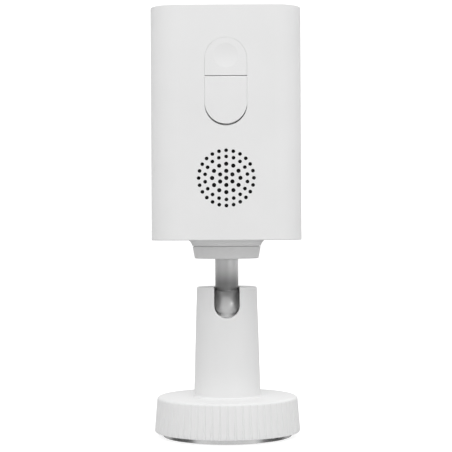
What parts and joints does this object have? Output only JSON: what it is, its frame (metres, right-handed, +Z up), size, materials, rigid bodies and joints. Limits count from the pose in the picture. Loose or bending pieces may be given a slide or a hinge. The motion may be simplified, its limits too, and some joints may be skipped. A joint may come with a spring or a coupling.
{
  "type": "baby monitor camera",
  "caption": "Upright rounded-box monitor camera on a slotted ball-joint column with a finely grooved round foot and a steel wall disc.",
  "frame": {"origin": "centre of the underside of the foot's rubber pad, on the column's axis", "axes": "+Z up along the column; -Y the way the lens looks; +Y the speaker and port side, towards which the stem folds"},
  "size_m": [0.056, 0.0558, 0.162],
  "materials": {
    "white_shell": "fine satin moulded white",
    "black_window": "polished tinted acrylic",
    "black_plastic": "moulded satin black",
    "plate_steel": "turned and polished stainless steel",
    "stem_steel": "satin nickel-plated steel",
    "screw_steel": "zinc-plated steel",
    "rubber": "soft black rubber",
    "glass": "coated optical glass",
    "board": "solder-masked circuit board",
    "chip": "moulded chip packages",
    "lamp": "clear lamp packages",
    "brass": "machined brass",
    "magnet": "nickel-plated magnet",
    "mesh": "fine black acoustic mesh",
    "battery": "shrink-wrapped cells",
    "tin": "tin-plated sheet",
    "wire": "soft wire insulation",
    "antenna": "copper on film"
  },
  "bodies": {
    "wall_plate": {"mounting_plate": "plate_steel", "plate_pad": "rubber"},
    "stand": {"base_ring": "white_shell", "base_cover": "black_plastic", "cover_screws": "screw_steel", "base_magnet": "magnet", "column_screws": "screw_steel", "column": "white_shell", "friction_cup": "white_shell", "clamp_spring": "screw_steel", "tension_plug": "brass"},
    "stem": {"ball_stem": "stem_steel", "mount_cap": "white_shell", "cap_washer": "white_shell"},
    "head": {"rear_shell": "white_shell", "tripod_nut": "brass", "flap_pin": "screw_steel", "front_shell": "white_shell", "front_window": "black_window", "window_gasket": "rubber", "lens_ring": "black_plastic", "lens_barrel": "black_plastic", "lens_front_glass": "glass", "lens_inner_glass": "glass", "light_baffle": "rubber", "lens_holder": "black_plastic", "filter_housing": "black_plastic", "sensor_board": "board", "image_sensor": "chip", "led_board": "board", "infrared_leds": "lamp", "front_sensors": "lamp", "light_guide": "lamp", "microphone": "rubber", "inner_frame": "black_plastic", "battery_pack": "battery", "main_board": "board", "shield_can": "tin", "board_parts": "chip", "frame_screws": "screw_steel", "speaker_mesh": "mesh", "speaker_gasket": "rubber", "speaker_basket": "black_plastic", "speaker_cone": "chip", "speaker_magnet": "screw_steel", "rear_screws": "screw_steel", "port_board": "board", "port_bay": "white_shell", "usb_socket": "tin", "key_switches": "chip", "wifi_antenna": "antenna", "inner_wires": "wire"},
    "button": {"power_button": "white_shell", "switch_plunger": "black_plastic"},
    "reset": {"reset_key": "black_plastic"},
    "flap": {"port_flap": "white_shell", "flap_plug": "rubber"},
    "filter": {"filter_blade": "black_plastic", "filter_glass": "glass"}
  },
  "joints": [
    {"name": "foot_turn", "type": "hinge", "parent": "wall_plate", "child": "stand", "pos_m": [0, 0, 0.003], "axis": [0, 0, 1], "continuous": true},
    {"name": "head_tilt", "type": "hinge", "parent": "stand", "child": "stem", "pos_m": [0, 0, 0.05045], "axis": [-1, 0, 0], "range_deg": [0, 90]},
    {"name": "head_pan", "type": "hinge", "parent": "stem", "child": "head", "pos_m": [0, 0, 0.073], "axis": [0, 0, 1], "continuous": true},
    {"name": "power_press", "type": "slide", "parent": "head", "child": "button", "axis": [0, -1, 0], "range_m": [0, 0.0004], "stiffness_N_per_m": 4000},
    {"name": "reset_press", "type": "slide", "parent": "head", "child": "reset", "axis": [0, -1, 0], "range_m": [0, 0.0003], "stiffness_N_per_m": 4000},
    {"name": "flap_swing", "type": "hinge", "parent": "head", "child": "flap", "pos_m": [0, 0.02435, 0.13508], "axis": [1, 0, 0], "range_deg": [0, 100]},
    {"name": "filter_shift", "type": "slide", "parent": "head", "child": "filter", "axis": [1, 0, 0], "range_m": [0, 0.0068]}
  ]
}
